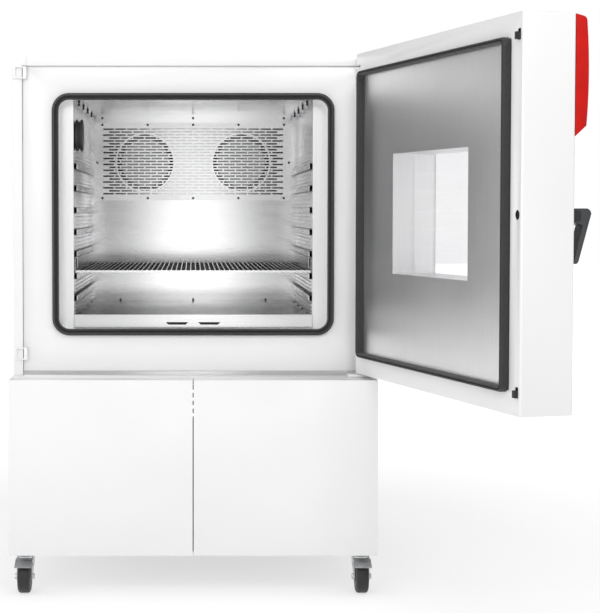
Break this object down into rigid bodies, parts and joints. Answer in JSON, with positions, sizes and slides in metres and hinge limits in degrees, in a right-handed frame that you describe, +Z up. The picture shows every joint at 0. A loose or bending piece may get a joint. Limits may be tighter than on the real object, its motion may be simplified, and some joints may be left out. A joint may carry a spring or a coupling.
{
  "type": "climate chamber",
  "caption": "Floor-standing climate chamber with an open hinged door, a ribbed stainless test space with a wire shelf, and a base on castors with two doors.",
  "frame": {"origin": "on the floor under the middle of the cabinet", "axes": "+Z up, the front faces -Y, +X to the right seen from the front"},
  "size_m": [1.5389, 2.1799, 1.6493],
  "materials": {
    "enamel_white": "gloss",
    "enamel_grey": "satin",
    "enamel_red": "gloss",
    "stainless": "satin",
    "zinc_steel": "satin",
    "dark_steel": "satin",
    "silicone_black": "matte",
    "foam": "matte",
    "glass_clear": "gloss",
    "plastic_black": "matte",
    "plastic_dark": "satin",
    "tread_black": "matte",
    "screen_black": "gloss",
    "copper_fins": "satin"
  },
  "bodies": {
    "cabinet": {"left_side_panel": "enamel_white", "right_side_panel": "enamel_white", "roof_panel": "enamel_white", "rear_panel": "enamel_grey", "housing_floor": "stainless", "front_frame": "enamel_white", "frame_gasket": "silicone_black", "door_strikers": "enamel_white", "hinge_brackets": "enamel_white", "door_throat": "stainless", "chamber_left_wall": "stainless", "chamber_right_wall": "stainless", "chamber_ceiling": "stainless", "chamber_floor": "stainless", "chamber_rear_wall": "stainless", "fan_cover": "stainless", "shelf_rails": "stainless", "shelf_guides": "stainless", "access_port_sleeve": "stainless", "insulation_block": "foam", "fan_motors": "dark_steel", "heating_rods": "stainless", "evaporator_coil": "copper_fins", "base_frame": "enamel_white", "base_left_panel": "enamel_white", "base_right_panel": "enamel_white", "base_top_plate": "enamel_white", "base_rear_grille": "enamel_grey", "compressors": "dark_steel", "condenser": "copper_fins", "control_box": "enamel_grey", "mains_inlet": "plastic_black", "castor_plates": "zinc_steel"},
    "door": {"door_shell": "enamel_white", "door_inner_panel": "stainless", "door_gasket": "silicone_black", "door_insulation": "foam", "window_panes": "glass_clear", "controller_housing": "enamel_red", "display": "screen_black", "handle_base": "plastic_black"},
    "handle": {"handle_lever": "plastic_dark"},
    "lock_bar": {"lock_bar": "dark_steel"},
    "shelf": {"shelf_rack": "stainless"},
    "port_stopper": {"port_stopper": "silicone_black"},
    "left_fan": {"left_fan_impeller": "stainless"},
    "right_fan": {"right_fan_impeller": "stainless"},
    "condenser_fan": {"condenser_fan": "plastic_black"},
    "left_base_door": {"left_base_door": "enamel_white"},
    "right_base_door": {"right_base_door": "enamel_white"},
    "front_left_castor": {"front_left_castor_fork": "zinc_steel"},
    "front_left_wheel": {"front_left_castor_wheel": "tread_black"},
    "front_left_brake": {"front_left_brake_pedal": "zinc_steel"},
    "front_right_castor": {"front_right_castor_fork": "zinc_steel"},
    "front_right_wheel": {"front_right_castor_wheel": "tread_black"},
    "front_right_brake": {"front_right_brake_pedal": "zinc_steel"},
    "rear_left_castor": {"rear_left_castor_fork": "zinc_steel"},
    "rear_left_wheel": {"rear_left_castor_wheel": "tread_black"},
    "rear_right_castor": {"rear_right_castor_fork": "zinc_steel"},
    "rear_right_wheel": {"rear_right_castor_wheel": "tread_black"}
  },
  "joints": [
    {"name": "door_hinge", "type": "hinge", "parent": "cabinet", "child": "door", "pos_m": [0.525, -0.5041, 0.66], "axis": [0, 0, 1], "range_deg": [-105.3, 3]},
    {"name": "handle_pivot", "type": "hinge", "parent": "door", "child": "handle", "pos_m": [0.93824, -1.46097, 1.157], "axis": [0.2639, -0.9646, 0], "range_deg": [0, 25], "stiffness_Nm_per_rad": 0.5},
    {"name": "lock_bar_slide", "type": "slide", "parent": "door", "child": "lock_bar", "axis": [0, 0, 1], "range_m": [0, 0.007]},
    {"name": "shelf_slide", "type": "slide", "parent": "cabinet", "child": "shelf", "axis": [0, -1, 0], "range_m": [0, 0.45]},
    {"name": "port_stopper_pull", "type": "slide", "parent": "cabinet", "child": "port_stopper", "axis": [1, 0, 0], "range_m": [0, 0.15]},
    {"name": "left_fan_spin", "type": "hinge", "parent": "cabinet", "child": "left_fan", "pos_m": [-0.173, 0.3496, 1.344], "axis": [0, 1, 0], "continuous": true},
    {"name": "right_fan_spin", "type": "hinge", "parent": "cabinet", "child": "right_fan", "pos_m": [0.173, 0.3496, 1.344], "axis": [0, 1, 0], "continuous": true},
    {"name": "condenser_fan_spin", "type": "hinge", "parent": "cabinet", "child": "condenser_fan", "pos_m": [-0.2, -0.215, 0.3113], "axis": [0, 1, 0], "continuous": true},
    {"name": "left_base_door_hinge", "type": "hinge", "parent": "cabinet", "child": "left_base_door", "pos_m": [-0.5495, -0.5809, 0.39], "axis": [0, 0, -1], "range_deg": [0, 90]},
    {"name": "right_base_door_hinge", "type": "hinge", "parent": "cabinet", "child": "right_base_door", "pos_m": [0.5495, -0.5809, 0.39], "axis": [0, 0, 1], "range_deg": [0, 90]},
    {"name": "front_left_castor_swivel", "type": "hinge", "parent": "cabinet", "child": "front_left_castor", "pos_m": [-0.516, -0.5279, 0.11], "axis": [0, 0, 1], "continuous": true},
    {"name": "front_left_wheel_spin", "type": "hinge", "parent": "front_left_castor", "child": "front_left_wheel", "pos_m": [-0.516, -0.5599, 0.05], "axis": [1, 0, 0], "continuous": true},
    {"name": "front_left_brake_press", "type": "hinge", "parent": "front_left_castor", "child": "front_left_brake", "pos_m": [-0.516, -0.5519, 0.09], "axis": [1, 0, 0], "range_deg": [0, 6]},
    {"name": "front_right_castor_swivel", "type": "hinge", "parent": "cabinet", "child": "front_right_castor", "pos_m": [0.516, -0.5279, 0.11], "axis": [0, 0, 1], "continuous": true},
    {"name": "front_right_wheel_spin", "type": "hinge", "parent": "front_right_castor", "child": "front_right_wheel", "pos_m": [0.516, -0.5599, 0.05], "axis": [1, 0, 0], "continuous": true},
    {"name": "front_right_brake_press", "type": "hinge", "parent": "front_right_castor", "child": "front_right_brake", "pos_m": [0.516, -0.5519, 0.09], "axis": [1, 0, 0], "range_deg": [0, 6]},
    {"name": "rear_left_castor_swivel", "type": "hinge", "parent": "cabinet", "child": "rear_left_castor", "pos_m": [-0.516, 0.5279, 0.11], "axis": [0, 0, 1], "continuous": true},
    {"name": "rear_left_wheel_spin", "type": "hinge", "parent": "rear_left_castor", "child": "rear_left_wheel", "pos_m": [-0.516, 0.4959, 0.05], "axis": [1, 0, 0], "continuous": true},
    {"name": "rear_right_castor_swivel", "type": "hinge", "parent": "cabinet", "child": "rear_right_castor", "pos_m": [0.516, 0.5279, 0.11], "axis": [0, 0, 1], "continuous": true},
    {"name": "rear_right_wheel_spin", "type": "hinge", "parent": "rear_right_castor", "child": "rear_right_wheel", "pos_m": [0.516, 0.4959, 0.05], "axis": [1, 0, 0], "continuous": true}
  ],
  "couplings": [
    {"joint": "lock_bar_slide", "follows": "handle_pivot", "m_per_rad": 0.016}
  ]
}
